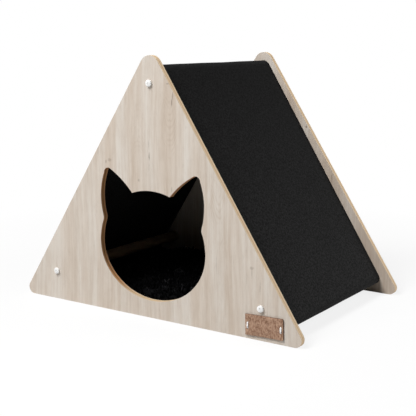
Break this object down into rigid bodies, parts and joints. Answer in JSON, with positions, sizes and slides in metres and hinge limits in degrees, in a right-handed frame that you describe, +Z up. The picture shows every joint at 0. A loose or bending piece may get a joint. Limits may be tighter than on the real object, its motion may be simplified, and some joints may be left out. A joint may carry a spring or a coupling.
{
  "type": "cat teepee",
  "caption": "Triangular cat house: two wood boards on round rods, a cat-head doorway, a felt sleeve as walls and floor, and a plush cushion.",
  "frame": {"origin": "on the ground, in the middle between the two boards", "axes": "+X to the right along the front board, the front board and its doorway face -Y, +Z up"},
  "size_m": [0.5022, 0.3321, 0.3852],
  "materials": {
    "board": "satin pale wood grain with a plain plywood edge",
    "rod": "sanded beech",
    "felt": "matt black pressed felt",
    "plush": "black long-pile plush",
    "screw": "white enamel",
    "insert": "plain zinc alloy",
    "label": "brown grained leather, bare",
    "thread": "waxed white thread"
  },
  "bodies": {
    "house": {"front_panel": "board", "rear_panel": "board", "ridge_rod": "rod", "left_rod": "rod", "right_rod": "rod", "felt_sleeve": "felt", "front_ridge_screw": "screw", "front_left_screw": "screw", "front_right_screw": "screw", "rear_ridge_screw": "screw", "rear_left_screw": "screw", "rear_right_screw": "screw", "front_ridge_insert": "insert", "front_left_insert": "insert", "front_right_insert": "insert", "rear_ridge_insert": "insert", "rear_left_insert": "insert", "rear_right_insert": "insert", "label": "label", "label_stitch_left": "thread", "label_stitch_right": "thread"},
    "cushion": {"cushion": "plush"}
  },
  "joints": [
    {"name": "cushion_lift", "type": "slide", "parent": "house", "child": "cushion", "axis": [0, 0, 1], "range_m": [0, 0.05]}
  ]
}
